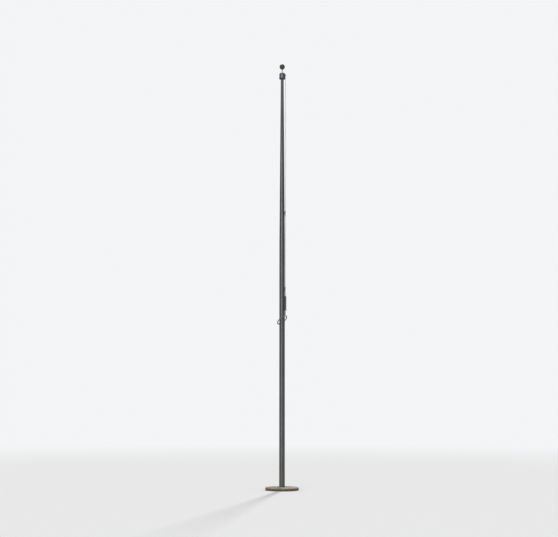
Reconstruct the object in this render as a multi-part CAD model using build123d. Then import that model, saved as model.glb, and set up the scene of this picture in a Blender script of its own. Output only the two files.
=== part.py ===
"""Flagpole with an inside halyard: a tapered aluminium shaft in a round concrete footing, a revolving
truck with a ball finial, and a flag line that hangs outside with its snaps, counterweight and beaded ring.

Millimetres. The origin is the centre of the footing's flat underside, +Z is up, and the hand-hole faces +Y.
"""
import os
from math import asin, atan2, degrees, hypot

from build123d import *

os.makedirs("parts", exist_ok=True)

# Fits
seat_gap = 0.3          # between a piece and the seat it rests in
running_gap = 0.3       # between a turning piece and its shaft

# Footing, ground sleeve and fill
footing_diameter = 600
footing_height = 52
footing_edge = 8        # trowelled round on the top edge
sleeve_bore = 152
sleeve_wall = 1.6
sleeve_rim = 4          # sleeve above the concrete
seal_depth = 18
seal_rise = 8           # the seal climbs the shaft, to shed water

# Shaft
exposed_height = 7620   # footing top to shaft top
butt_diameter = 101.6
top_diameter = 54
taper_length = 3200
shaft_wall = 3.2

# Hand-hole and its door
door_centre = 1150      # above the footing top
door_width = 58
door_height = 210
door_corner = 18
door_gap = 1
frame_thickness = 5
frame_margin = 9        # frame behind the shaft wall, all round
frame_land = 8          # frame behind the door's edge
lock_diameter = 19
lock_rise = 37          # lock above the door's lower edge
lock_proud = 1.2
cam_length = 37
cam_width = 12
cam_thickness = 3
tongue_width = 24
tongue_thickness = 3
tongue_reach = 18       # tongue above the door's block
tongue_block = 6        # height of that block

# Halyard and its cleat
rope_diameter = 8
cleat_drop = 25         # cleat below the door's centre
jaw_diameter = 20
jaw_depth = 16
cleat_plate = 4
cleat_width = 56
cleat_height = 34
cleat_arm = 14
jaw_pin_diameter = 6
tail_length = 70        # rope below the cleat's jaws
stopper_diameter = 20

# Truck: stem, bearing and yoke
stem_depth = 80
stem_bore = 16
flange_thickness = 3
neck_diameter = 28
neck_rim = 2.3          # neck above its clip
neck_clearance = 3      # space over the neck
bearing_diameter = 50
bearing_thickness = 3
hub_diameter = 58
hub_height = 9.7
clip_thickness = 1.4
clip_depth = 1.2        # groove in the neck
clip_diameter = 36
clip_mouth = 10
screw_diameter = 6
screw_drop = 24         # set screws below the shaft top
screw_count = 3
line_radius = 73        # shaft axis to the line that hangs outside
line_azimuth = -32      # about +Z from +X
sheave_gap = 1.5        # between the sheave's rim and the hub
sheave_thickness = 15
sheave_lip = 4          # rim outside the rope's centre line
sheave_web = 9
sheave_floor = 4.2      # metal under the rope's groove
web_inner_diameter = 26
axle_diameter = 12.4
cheek_thickness = 5
cheek_gap = 0.7
cheek_foot = 44
cheek_boss_diameter = 24
cheek_head = 30
axle_head_diameter = 18
axle_head = 3
crown_diameter = 44
crown_thickness = 7
crown_gap = 2.5         # between the sheave's rim and the crown plate

# Hood
hood_clearance = 2.2    # between the cheeks' bosses and the shoulder
hood_flare = 2          # foot outside the shoulder
hood_rise = 1.5         # rim above the shaft top
hood_wall = 2.5
rim_roll = 1.5          # rolled rim outside the foot
rim_height = 5
shoulder_radius = 16
slot_side = 3           # slot beside and over the sheave

# Finial
spindle_diameter = 12.7
spindle_nut_width = 19
spindle_nut_height = 8
ball_diameter = 101.6
ball_wall = 1.6
ball_lift = 129         # ball centre above the hood
boss_diameter = 24
boss_height = 8
spindle_grip = 9        # spindle inside the ball

# Flag line, hanging down from the upper knot
upper_knot_height = 5038  # above the footing top
snap_spacing = 1425     # between the knots of the two flag snaps
weight_drop = 165       # counterweight below the lower knot
weight_length = 270
weight_diameter = 32
weight_coat = 3
weight_edge = 6
knot_diameter = 21
knot_length = 30
loop_radius = 8         # rope loop, at the rope's centre line
loop_drop = 10          # snap loop below its knot
loop_hang = 10          # same for the counterweight's loop, from its top
swing_gap = 0.5         # between the line and a snap that turns beside it
eye_radius = 9          # metal eyes, at the wire's centre line
eye_wire = 5
eye_shank = 6
swivel_diameter = 11
swivel_height = 9
pin_diameter = 5
pin_head_diameter = 8
pin_head = 1.8
hook_neck = 6
hook_length = 52
hook_width = 26
hook_bar = 6.5
hook_thickness = 7
mouth_top = 15          # mouth below the hook's top
mouth_height = 22
gate_width = 4.5
gate_gap = 0.4
hook_facing = -90       # the flag snaps' mouths, about +Z from +X

# Retainer ring
ring_drop = 145         # lowest point of the ring below its hook
cable_diameter = 5
bead_diameter = 22
bead_gap = 1
ferrule_length = 13
ferrule_diameter = 9.5

# Heights and radii that follow
shaft_top = footing_height + exposed_height
taper_start = shaft_top - taper_length
butt_radius = butt_diameter / 2
bore_radius = butt_radius - shaft_wall
top_bore_radius = top_diameter / 2 - shaft_wall
rope_radius = rope_diameter / 2
door_height_up = footing_height + door_centre
cleat_height_up = door_height_up - cleat_drop
bearing_bottom = shaft_top + flange_thickness
bearing_top = bearing_bottom + bearing_thickness
hub_bottom = bearing_top + running_gap
hub_top = hub_bottom + hub_height
sheave_radius = line_radius / 2
rim_radius = sheave_radius + sheave_lip
sheave_height = hub_top + sheave_gap + rim_radius
cheek_inner = sheave_thickness / 2 + cheek_gap
cheek_outer = cheek_inner + cheek_thickness
crown_bottom = sheave_height + rim_radius + crown_gap
crown_top = crown_bottom + crown_thickness
hood_top = crown_top + hood_wall
hood_bottom = shaft_top + hood_rise
shoulder_outer = hypot(sheave_radius + cheek_boss_diameter / 2, cheek_outer) + hood_clearance + hood_wall
foot_outer = shoulder_outer + hood_flare
rim_outer = foot_outer + rim_roll
ball_height = hood_top + ball_lift
ball_bottom = ball_height - ball_diameter / 2
upper_knot = footing_height + upper_knot_height
lower_knot = upper_knot - snap_spacing
weight_top = lower_knot - weight_drop
weight_bottom = weight_top - weight_length
loop_side = hypot(hook_width, hook_thickness) / 2 + rope_radius + swing_gap


def save(name, shape):
    export_step(shape, f"parts/{name}.step")


def tube(outer, inner, bottom, top):
    """Upright tube between two radii and two heights."""
    height = top - bottom
    middle = (top + bottom) / 2
    return Pos(0, 0, middle) * (Cylinder(outer, height) - Cylinder(inner, height))


def rod(radius, bottom, top, x=0, y=0):
    """Upright round bar."""
    return Pos(x, y, (top + bottom) / 2) * Cylinder(radius, top - bottom)


def block(x0, x1, y0, y1, z0, z1):
    """Box from its six faces."""
    return Pos((x0 + x1) / 2, (y0 + y1) / 2, (z0 + z1) / 2) * Box(x1 - x0, y1 - y0, z1 - z0)


def lathe(*points):
    """Solid turned about the Z axis from a closed outline of radius and height."""
    outline = Polyline(*[(radius, 0, height) for radius, height in points], close=True)
    return revolve(make_face(outline), Axis.Z)


def on_line(shape):
    """Turns a piece made with the line on +X to the line's own azimuth."""
    return Rot(0, 0, line_azimuth) * shape


def wire_ring(radius, wire_radius, x, y, z, turn=0):
    """Upright ring of round wire. Turn 0 puts it in the XZ plane, and 90 in the YZ plane."""
    return Pos(x, y, z) * Rot(0, 0, turn) * Rot(90, 0, 0) * Torus(radius, wire_radius)


# Footing: a round concrete collar with the ground sleeve cast in, and no flash collar over the joint
def footing():
    sleeve_hole = sleeve_bore / 2 + sleeve_wall
    collar = tube(footing_diameter / 2, sleeve_hole, 0, footing_height)
    rim = collar.edges().filter_by(GeomType.CIRCLE).group_by(Axis.Z)[-1].sort_by(SortBy.RADIUS)[-1]
    return fillet(rim, footing_edge)


save("footing", footing())
save("ground_sleeve", tube(
    sleeve_bore / 2 + sleeve_wall - seat_gap, sleeve_bore / 2 - seat_gap,
    0, footing_height + sleeve_rim))

fill_outer = sleeve_bore / 2 - 2 * seat_gap
fill_inner = butt_radius + seat_gap
fill_top = footing_height - seal_depth
save("sand_fill", tube(fill_outer, fill_inner, 0, fill_top))
save("weather_seal", lathe(
    (fill_inner, fill_top), (fill_outer, fill_top),
    (fill_outer, footing_height), (fill_inner, footing_height + seal_rise)))


# Shaft: one spun tube, straight and then tapered, with the hand-hole and three set-screw holes
def back_prism(width, height, corner):
    """Rounded rectangle through the back wall, about the door's centre."""
    outline = Plane.XZ * RectangleRounded(width, height, corner)
    return Pos(0, 0, door_height_up) * extrude(outline, amount=-butt_diameter)


def set_screws(radius, inner, outer):
    """Bars across the shaft's top for the set screws, from one distance off the axis to another."""
    bar = Pos((inner + outer) / 2, 0, shaft_top - screw_drop) * Rot(0, 90, 0) * Cylinder(radius, outer - inner)
    first = 360 / screw_count / 2 + line_azimuth
    return [Rot(0, 0, first + 360 / screw_count * i) * bar for i in range(screw_count)]


def shaft():
    body = lathe(
        (butt_radius, 0), (butt_radius, taper_start), (top_diameter / 2, shaft_top),
        (top_bore_radius, shaft_top), (bore_radius, taper_start), (bore_radius, 0))
    body -= back_prism(door_width, door_height, door_corner)
    for hole in set_screws(screw_diameter / 2 + seat_gap / 2, top_bore_radius / 2, top_diameter):
        body -= hole
    return body


save("shaft", shaft())


# Hand-hole: a frame welded inside the wall, and a flush door with a tongue above and a cam lock below
door_low = door_height_up - door_height / 2 - frame_margin
door_high = door_height_up + door_height / 2 + frame_margin
frame_outer = bore_radius - seat_gap
frame_inner = frame_outer - frame_thickness
lock_height = door_height_up - door_height / 2 + lock_rise


def door_frame():
    ring = tube(frame_outer, frame_inner, door_low, door_high)
    outside = back_prism(
        door_width + 2 * frame_margin, door_height + 2 * frame_margin, door_corner + frame_margin)
    inside = back_prism(
        door_width - 2 * frame_land, door_height - 2 * frame_land, door_corner - frame_land)
    return (ring & outside) - inside


def access_door():
    plate = tube(butt_radius, bore_radius, door_low, door_high) & back_prism(
        door_width - 2 * door_gap, door_height - 2 * door_gap, door_corner - door_gap)
    half = tongue_width / 2
    reach = (frame_inner ** 2 - half ** 2) ** 0.5 - seat_gap
    block_top = door_height_up + door_height / 2 - frame_land - seat_gap
    block_low = block_top - tongue_block
    carrier = block(-half, half, reach - tongue_thickness, bore_radius + shaft_wall / 2, block_low, block_top)
    carrier &= rod(bore_radius + shaft_wall / 2, block_low, block_top)
    tongue = block(-half, half, reach - tongue_thickness, reach, block_low, block_top + tongue_reach)
    lock_hole = Pos(0, butt_radius, lock_height) * Rot(90, 0, 0) * Cylinder(
        lock_diameter / 2 + seat_gap, butt_radius)
    return plate + carrier + tongue - lock_hole


def door_lock():
    reach = (frame_inner ** 2 - (cam_width / 2) ** 2) ** 0.5 - seat_gap
    inner = reach - cam_thickness
    outer = butt_radius + lock_proud
    barrel = Pos(0, (inner + outer) / 2, lock_height) * Rot(90, 0, 0) * Cylinder(
        lock_diameter / 2, outer - inner)
    cam = block(
        -cam_width / 2, cam_width / 2, inner, reach, lock_height - cam_length, lock_height)
    return barrel + cam


save("door_frame", door_frame())
save("access_door", access_door())
save("door_lock", door_lock())


# Cleat: a bracket on the bore's front wall with two cams that grip the halyard on the shaft's axis
jaw_offset = rope_radius + seat_gap + jaw_diameter / 2
jaw_back = -jaw_depth / 2


def cleat_bracket():
    half_width = cleat_width / 2
    half_height = cleat_height / 2
    plate = block(
        -half_width, half_width, jaw_back - cleat_plate, jaw_back,
        cleat_height_up - half_height, cleat_height_up + half_height)
    arm = block(
        -cleat_arm, cleat_arm, -bore_radius, jaw_back - cleat_plate / 2,
        cleat_height_up - cleat_arm, cleat_height_up + cleat_arm)
    bracket = plate + (arm & rod(
        bore_radius - seat_gap, cleat_height_up - cleat_arm, cleat_height_up + cleat_arm))
    for side in (-1, 1):
        pin = Pos(side * jaw_offset, 0, cleat_height_up) * Rot(90, 0, 0) * Cylinder(
            jaw_pin_diameter / 2, jaw_depth + cleat_plate)
        bracket += pin
    return bracket


def cleat_jaws():
    jaws = []
    for side in (-1, 1):
        jaw = Cylinder(jaw_diameter / 2, jaw_depth - seat_gap)
        jaw -= Cylinder(jaw_pin_diameter / 2 + running_gap, jaw_depth)
        jaws.append(Pos(side * jaw_offset, seat_gap / 2, cleat_height_up) * Rot(90, 0, 0) * jaw)
    return Compound(jaws)


save("cleat_bracket", cleat_bracket())
save("cleat_jaws", cleat_jaws())


# Halyard inside the shaft, from the sheave's inner side to a stopper knot under the cleat
stopper_height = cleat_height_up - tail_length
stopper_top = stopper_height + (stopper_diameter ** 2 - rope_diameter ** 2) ** 0.5 / 2


def stopper_knot():
    ball = Pos(0, 0, stopper_height) * Sphere(stopper_diameter / 2)
    return ball & rod(stopper_diameter, stopper_height - stopper_diameter, stopper_top)


save("stopper_knot", stopper_knot())
save("halyard_inner", rod(rope_radius, stopper_top, sheave_height))


# Truck stem: the fixed, bored plug in the shaft's top, whose neck the truck turns on
clip_bottom = hub_top + running_gap
clip_top = clip_bottom + clip_thickness
neck_top = clip_top + neck_rim


def truck_stem():
    plug_radius = top_bore_radius - seat_gap
    neck_radius = neck_diameter / 2
    groove_radius = neck_radius - clip_depth
    bore = stem_bore / 2
    body = lathe(
        (bore, shaft_top - stem_depth), (plug_radius, shaft_top - stem_depth),
        (plug_radius, shaft_top), (top_diameter / 2, shaft_top),
        (top_diameter / 2, bearing_bottom), (neck_radius, bearing_bottom),
        (neck_radius, clip_bottom - seat_gap / 2), (groove_radius, clip_bottom - seat_gap / 2),
        (groove_radius, clip_top + seat_gap / 2), (neck_radius, clip_top + seat_gap / 2),
        (neck_radius, neck_top), (bore, neck_top))
    for socket in set_screws(screw_diameter / 2 + seat_gap / 2, top_bore_radius / 2, top_diameter):
        body -= socket
    return body


save("truck_stem", truck_stem())
save("stem_screws", Compound(set_screws(
    screw_diameter / 2, top_bore_radius / 2 + seat_gap, top_diameter / 2)))
save("thrust_washer", tube(
    bearing_diameter / 2, neck_diameter / 2 + running_gap, bearing_bottom, bearing_top))


def retaining_clip():
    gap = block(0, clip_diameter, -clip_mouth / 2, clip_mouth / 2, clip_bottom, clip_top)
    ring = tube(clip_diameter / 2, neck_diameter / 2 - clip_depth + seat_gap / 2, clip_bottom, clip_top)
    return ring - gap


save("retaining_clip", retaining_clip())


# Truck yoke: a hub on the neck, two cheeks beside the sheave, and a crown plate under the hood
def truck_yoke():
    hub = tube(hub_diameter / 2, neck_diameter / 2 + running_gap, hub_bottom, hub_top)
    foot = Pos(0, (hub_bottom + hub_top) / 2) * Rectangle(cheek_foot, hub_height)
    boss = Pos(sheave_radius, sheave_height) * Circle(cheek_boss_diameter / 2)
    head = Pos(0, (crown_bottom + crown_top) / 2) * Rectangle(cheek_head, crown_thickness)
    outline = make_hull(foot.edges() + boss.edges() + head.edges())
    cheek = Rot(90, 0, 0) * extrude(outline, amount=cheek_thickness / 2, both=True)
    yoke = hub + tube(crown_diameter / 2, spindle_diameter / 2, crown_bottom, crown_top)
    for side in (-1, 1):
        yoke += Pos(0, side * (cheek_inner + cheek_thickness / 2), 0) * cheek
    neck_space = rod(neck_diameter / 2 + running_gap, hub_bottom, hub_top)
    clip_space = rod(clip_diameter / 2 + 2 * running_gap, hub_top, neck_top + neck_clearance)
    axle_hole = Pos(sheave_radius, 0, sheave_height) * Rot(90, 0, 0) * Cylinder(
        axle_diameter / 2 + seat_gap / 2, hub_diameter)
    return yoke - neck_space - clip_space - axle_hole


save("truck_yoke", on_line(truck_yoke()))


# Sheave, its axle, and the half turn of halyard over it
def sheave():
    groove = rope_radius + seat_gap
    wheel = Cylinder(rim_radius, sheave_thickness)
    wheel -= Cylinder(axle_diameter / 2 + running_gap, sheave_thickness)
    wheel -= Torus(sheave_radius, groove)
    wheel -= Cylinder(rim_radius, 2 * groove) - Cylinder(sheave_radius, 2 * groove)
    web_outer = sheave_radius - groove - sheave_floor
    recess_depth = (sheave_thickness - sheave_web) / 2
    for side in (-1, 1):
        recess = Cylinder(web_outer, recess_depth) - Cylinder(web_inner_diameter / 2, recess_depth)
        wheel -= Pos(0, 0, side * (sheave_thickness - recess_depth) / 2) * recess
    return Pos(sheave_radius, 0, sheave_height) * Rot(90, 0, 0) * wheel


def sheave_axle():
    reach = cheek_outer + seat_gap
    pin = Cylinder(axle_diameter / 2, 2 * (reach + axle_head / 2))
    for side in (-1, 1):
        pin += Pos(0, 0, side * (reach + axle_head / 2)) * Cylinder(axle_head_diameter / 2, axle_head)
    return Pos(sheave_radius, 0, sheave_height) * Rot(90, 0, 0) * pin


def halyard_turn():
    ring = Pos(sheave_radius, 0, sheave_height) * Rot(90, 0, 0) * Torus(sheave_radius, rope_radius)
    return ring & block(
        -rope_diameter, line_radius + rope_diameter, -rope_diameter, rope_diameter,
        sheave_height, sheave_height + line_radius)


save("sheave", on_line(sheave()))
save("sheave_axle", on_line(sheave_axle()))
save("halyard_turn", on_line(halyard_turn()))


# Hood: a spun bell with a rolled rim, slotted from the rim up so that it drops over the sheave
def bell(wall):
    """Solid of the bell's outer form, set in by the wall."""
    shoulder = shoulder_radius - wall
    top = hood_top - wall
    side = shoulder_outer - wall
    foot = foot_outer - wall
    outline = Polyline((0, top), (0, hood_bottom), (foot, hood_bottom), (side, top - shoulder))
    outline += RadiusArc((side, top - shoulder), (side - shoulder, top), -shoulder)
    outline += Line((side - shoulder, top), (0, top))
    return revolve(Plane.XZ * make_face(outline), Axis.Z)


def hood():
    rim = tube(rim_outer, foot_outer - hood_wall, hood_bottom, hood_bottom + rim_height)
    rolled = rim.edges().filter_by(GeomType.CIRCLE).sort_by(SortBy.RADIUS)[-2:]
    shell = bell(0) + fillet(rolled, rim_roll) - bell(hood_wall)
    shell -= rod(spindle_diameter / 2 + seat_gap / 2, crown_top, hood_top)
    half = sheave_thickness / 2 + slot_side
    slot_top = sheave_height + rim_radius + slot_side - half
    slot_end = sheave_radius + rim_outer
    slot = block(sheave_radius, slot_end, -half, half, hood_bottom, slot_top)
    slot += Pos((sheave_radius + slot_end) / 2, 0, slot_top) * Rot(0, 90, 0) * Cylinder(
        half, slot_end - sheave_radius)
    return shell - slot


save("hood", on_line(hood()))


# Finial: a spindle screwed into the crown, locked by a nut, with a hollow spun ball on its boss
def spindle_nut():
    nut = extrude(RegularPolygon(spindle_nut_width / 2, 6, major_radius=False), spindle_nut_height)
    nut -= Cylinder(spindle_diameter / 2 + seat_gap / 2, 3 * spindle_nut_height)
    return Pos(0, 0, hood_top) * nut


def ball():
    shell = Sphere(ball_diameter / 2) - Sphere(ball_diameter / 2 - ball_wall)
    return Pos(0, 0, ball_height) * shell - rod(
        spindle_diameter / 2 + seat_gap / 2, ball_bottom - boss_height, ball_height)


def ball_boss():
    boss = tube(
        boss_diameter / 2, spindle_diameter / 2 + seat_gap / 2, ball_bottom - boss_height,
        ball_bottom + boss_height)
    return boss - Pos(0, 0, ball_height) * Sphere(ball_diameter / 2 + seat_gap / 2)


save("finial_spindle", rod(spindle_diameter / 2, crown_bottom, ball_bottom + spindle_grip))
save("spindle_nut", spindle_nut())
save("ball_boss", ball_boss())
save("ball", ball())


# Knots: each closes on the line, with a rope loop that holds a metal eye
knot_reach = knot_length / 2 * (1 - (rope_diameter / knot_diameter) ** 2) ** 0.5
wire_radius = eye_wire / 2
eye_below_loop = eye_radius + loop_radius - rope_radius - wire_radius - seat_gap
weight_eye = weight_top + eye_shank + eye_radius
weight_loop = weight_eye + eye_below_loop
weight_knot = weight_loop + loop_radius + loop_hang


def knot(height, loop_y, loop_z):
    """Knot on the line, with its loop in the YZ plane about a centre beside and below the knot."""
    body = scale(Sphere(knot_diameter / 2), by=(1, 1, knot_length / knot_diameter))
    body &= Cylinder(knot_diameter, 2 * knot_reach)
    body = Pos(line_radius, 0, height) * body
    return body + wire_ring(loop_radius, rope_radius, line_radius, loop_y, height + loop_z, 90)


save("upper_knot", on_line(knot(upper_knot, -loop_side, -loop_drop)))
save("lower_knot", on_line(knot(lower_knot, -loop_side, -loop_drop)))
save("weight_knot", on_line(knot(weight_knot, 0, weight_loop - weight_knot)))

# Runs of the line outside: from the sheave to the upper snap, between the snaps, and to the weight
save("halyard_outer", on_line(rod(rope_radius, upper_knot + knot_reach, sheave_height, line_radius)))
save("hoist_rope", on_line(Compound([
    rod(rope_radius, lower_knot + knot_reach, upper_knot - knot_reach, line_radius),
    rod(rope_radius, weight_knot + knot_reach, lower_knot - knot_reach, line_radius)])))


# Snaps: a swivel eye, a closed hook cast in one piece, and a sprung gate across its mouth
hook_top = -eye_radius - swivel_height - running_gap - hook_neck
hook_inner_bottom = hook_top - hook_length + hook_bar


def snap_eye():
    """Eye with its centre at the origin, in the XZ plane, and the swivel's socket under it."""
    socket_top = -eye_radius
    socket = tube(
        swivel_diameter / 2, pin_diameter / 2 + running_gap, socket_top - swivel_height, socket_top)
    ring = wire_ring(eye_radius, wire_radius, 0, 0, 0)
    return ring + socket - rod(pin_diameter / 2 + running_gap, socket_top - swivel_height, 0)


def snap_hook():
    """Hook under the eye, in the XZ plane, with its mouth towards +X."""
    ring = SlotOverall(hook_length, hook_width, rotation=90) - SlotOverall(
        hook_length - 2 * hook_bar, hook_width - 2 * hook_bar, rotation=90)
    body = Rot(90, 0, 0) * extrude(ring, amount=hook_thickness / 2, both=True)
    body = Pos(0, 0, hook_top - hook_length / 2) * body
    mouth_low = hook_top - mouth_top - mouth_height
    body -= block(0, hook_width, -hook_thickness, hook_thickness, mouth_low, mouth_low + mouth_height)
    head_radius = pin_head_diameter / 2
    pin_top = running_gap + pin_head - ((eye_radius - wire_radius) ** 2 - head_radius ** 2) ** 0.5
    neck = rod(swivel_diameter / 2, hook_top - hook_bar / 2, hook_top + hook_neck)
    pin = rod(pin_diameter / 2, hook_top, pin_top)
    head = rod(head_radius, pin_top - pin_head, pin_top)
    return body + neck + pin + head


def snap_gate():
    """Gate between the hook's back and its nose, in the mouth."""
    mouth_low = hook_top - mouth_top - mouth_height
    middle = hook_width / 2 - hook_bar / 2
    return block(
        middle - gate_width / 2, middle + gate_width / 2,
        -hook_thickness / 2 + gate_gap, hook_thickness / 2 - gate_gap,
        mouth_low + gate_gap, mouth_low + mouth_height - gate_gap)


def save_snap(name, x, y, z, eye_turn, hook_turn):
    """Saves one snap, whose eye and hook are each turned about the swivel."""
    place = Rot(0, 0, line_azimuth) * Pos(x, y, z)
    save(f"{name}_eye", place * Rot(0, 0, eye_turn) * snap_eye())
    save(f"{name}_hook", place * Rot(0, 0, hook_turn) * snap_hook())
    save(f"{name}_gate", place * Rot(0, 0, hook_turn) * snap_gate())


snap_turn = hook_facing - line_azimuth
snap_drop = loop_drop + eye_below_loop
save_snap("upper_snap", line_radius, -loop_side, upper_knot - snap_drop, 0, snap_turn)
save_snap("lower_snap", line_radius, -loop_side, lower_knot - snap_drop, 0, snap_turn)


# Counterweight: a steel bar in a dipped coat, with an eye screwed into each end, and the ring's snap below
lower_eye = weight_bottom - eye_shank - eye_radius
ring_snap_eye = lower_eye - 2 * eye_radius + 2 * wire_radius + seat_gap


def weight_bar(inset):
    """Bar with rounded ends, set in from the coat's outside all round."""
    bar = rod(weight_diameter / 2 - inset, weight_bottom + inset, weight_top - inset, line_radius)
    return fillet(bar.edges().filter_by(GeomType.CIRCLE), weight_edge - inset)


def weight_end(centre, face):
    """Eye with its shank down or up to the bar's end face."""
    low, high = sorted((face, centre + (eye_radius if centre < face else -eye_radius)))
    return wire_ring(eye_radius, wire_radius, line_radius, 0, centre) + rod(wire_radius, low, high, line_radius)


shank_hole = rod(wire_radius + seat_gap, weight_bottom, weight_top, line_radius)
save("counterweight", on_line(weight_bar(0) - weight_bar(weight_coat - seat_gap) - shank_hole))
save("weight_core", on_line(weight_bar(weight_coat)))
save("weight_eyes", on_line(Compound([
    weight_end(weight_eye, weight_top - weight_coat),
    weight_end(lower_eye, weight_bottom + weight_coat)])))
save_snap("ring_snap", line_radius, 0, ring_snap_eye, 90, 180)

# Retainer ring: a tilted cable loop round the shaft, held by its snap, with close-set beads
ring_high = ring_snap_eye + hook_inner_bottom + cable_diameter / 2 + seat_gap
ring_radius = hypot(2 * line_radius, ring_drop) / 2
ring_tilt = degrees(atan2(ring_drop, 2 * line_radius))
ring_centre = ring_high - ring_drop / 2


def on_ring(shape, angle=0):
    """Places a piece made along +Y at the ring's +X side, at an angle round the tilted ring."""
    ring = Pos(0, 0, ring_centre) * Rot(0, -ring_tilt, 0)
    return ring * Rot(0, 0, angle) * Pos(ring_radius, 0, 0) * shape


def cable_bore(length):
    """Radius of a straight bore for the cable, with room for its bend over a length."""
    return cable_diameter / 2 + seat_gap + (length / 2) ** 2 / (2 * ring_radius)


def bead():
    """Ball turned about its bore, which lies along Y."""
    bore = cable_bore(bead_diameter)
    half = ((bead_diameter / 2) ** 2 - bore ** 2) ** 0.5
    outline = Line((bore, half), (bore, -half)) + RadiusArc((bore, -half), (bore, half), -bead_diameter / 2)
    return Rot(90, 0, 0) * revolve(Plane.XZ * make_face(outline), Axis.Z)


def ferrule():
    """Crimped sleeve about a bore along Y."""
    half = ferrule_length / 2
    return Rot(90, 0, 0) * tube(ferrule_diameter / 2, cable_bore(ferrule_length), -half, half)


def half_angle(length):
    """Half the angle that a chord of the ring spans."""
    return degrees(asin(length / 2 / ring_radius))


def retainer_beads():
    hook_side = half_angle(hook_thickness + bead_diameter + 2 * bead_gap)
    first = half_angle(hook_thickness + 2 * ferrule_length + bead_diameter + 4 * bead_gap)
    span = 360 - first - hook_side
    count = int(span / (2 * half_angle(bead_diameter + bead_gap))) + 1
    step = span / (count - 1)
    return Compound([on_ring(bead(), first + step * i) for i in range(count)])


ferrule_angle = half_angle(hook_thickness + ferrule_length + 2 * bead_gap)
cable = Pos(0, 0, ring_centre) * Rot(0, -ring_tilt, 0) * Torus(ring_radius, cable_diameter / 2)
save("retainer_cable", on_line(cable))
save("cable_ferrule", on_line(on_ring(ferrule(), ferrule_angle)))
save("retainer_beads", on_line(retainer_beads()))

print("shaft top", shaft_top, "hood top", hood_top, "ball top", ball_height + ball_diameter / 2)
print("ring radius", round(ring_radius, 1), "ring high", round(ring_high, 1), "tilt", round(ring_tilt, 1))
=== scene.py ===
from math import acos, atan2, cos, degrees, hypot, pi, radians, sin, sqrt

import bmesh
import bpy
from mathutils import Matrix, Vector, noise


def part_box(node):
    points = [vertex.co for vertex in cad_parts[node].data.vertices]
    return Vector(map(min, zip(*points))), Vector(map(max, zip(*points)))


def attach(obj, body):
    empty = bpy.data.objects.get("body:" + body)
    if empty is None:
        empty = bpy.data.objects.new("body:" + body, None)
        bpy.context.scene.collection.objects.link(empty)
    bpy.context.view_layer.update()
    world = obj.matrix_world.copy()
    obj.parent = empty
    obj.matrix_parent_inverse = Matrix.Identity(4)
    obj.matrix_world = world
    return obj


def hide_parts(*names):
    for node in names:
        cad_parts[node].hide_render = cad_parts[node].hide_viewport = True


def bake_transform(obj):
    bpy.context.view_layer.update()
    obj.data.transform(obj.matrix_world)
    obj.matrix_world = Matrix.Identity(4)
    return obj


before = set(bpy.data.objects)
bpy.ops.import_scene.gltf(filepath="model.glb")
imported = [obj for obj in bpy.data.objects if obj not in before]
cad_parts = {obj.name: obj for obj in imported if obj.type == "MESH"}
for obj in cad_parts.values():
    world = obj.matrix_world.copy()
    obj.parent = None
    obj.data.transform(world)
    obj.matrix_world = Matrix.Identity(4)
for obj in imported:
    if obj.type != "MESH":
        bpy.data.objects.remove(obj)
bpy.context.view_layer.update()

# Camera: it stands 18 m in front of the pole at chest height and looks up, so that the whole pole is
# seen from the ground to the ball.
camera_place = (-0.055, -18.0, 1.40)
camera_tilt = 8.28
camera_roll = 0.06
camera_lens = 63.30
camera_reach = 200


def add_object(name, data):
    """A new object, put in the scene."""
    holder = bpy.data.objects.new(name, data)
    bpy.context.collection.objects.link(holder)
    return holder


lens = bpy.data.cameras.new("camera")
lens.lens = camera_lens
lens.clip_end = camera_reach
camera = add_object("camera", lens)
camera.location = camera_place
camera.rotation_euler = (radians(90 + camera_tilt), radians(-camera_roll), 0)
bpy.context.scene.camera = camera
bpy.context.scene.view_settings.view_transform = "Standard"


# Floor and light: a plain pale floor that runs into a pale backdrop, a soft key, a low fill and an even
# light from all round. Only the fill and the surroundings show in the metals, so no outline glares.
class Socket:
    """A node's output. Arithmetic on it adds Math nodes, and add() makes any other node."""

    def __init__(self, output):
        self.output = output

    def add(self, kind, settings, values, output=0):
        node = self.output.id_data.nodes.new(kind)
        for name, value in settings.items():
            setattr(node, name, value)
        plug(node, values)
        return Socket(node.outputs[output])

    def maths(self, operation, *values):
        return self.add("ShaderNodeMath", {"operation": operation}, dict(enumerate(values)))

    def __add__(self, other):
        return self.maths("ADD", self, other)

    def __sub__(self, other):
        return self.maths("SUBTRACT", self, other)

    def __rsub__(self, other):
        return self.maths("SUBTRACT", other, self)

    def __mul__(self, other):
        return self.maths("MULTIPLY", self, other)

    __radd__ = __add__
    __rmul__ = __mul__


def plug(node, values):
    """Gives a node's inputs their links, colours or numbers."""
    for name, value in values.items():
        entry = node.inputs[name]
        if isinstance(value, Socket):
            node.id_data.links.new(value.output, entry)
        elif entry.type == "RGBA" and len(value) == 3:
            entry.default_value = (*value, 1)
        else:
            entry.default_value = value


def between(value, low, high):
    """0 below low, 1 above high, and smooth between."""
    return value.add("ShaderNodeMapRange", {"interpolation_type": "SMOOTHSTEP"},
                     {"Value": value, "From Min": low, "From Max": high})


def mix(mask, first, second):
    """The first colour where a mask is 0, and the second where it is 1."""
    return mask.add("ShaderNodeMix", {"data_type": "RGBA"}, {0: mask, 6: first, 7: second}, 2)


def start_finish(name):
    """A new material, its shader, and the coordinates of the piece itself."""
    material = bpy.data.materials.new(name)
    material.use_nodes = True
    tree = material.node_tree
    tree.nodes.clear()
    shader = tree.nodes.new("ShaderNodeBsdfPrincipled")
    end = tree.nodes.new("ShaderNodeOutputMaterial")
    tree.links.new(shader.outputs[0], end.inputs[0])
    place = Socket(tree.nodes.new("ShaderNodeTexCoord").outputs["Object"])
    return material, shader, place


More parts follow.
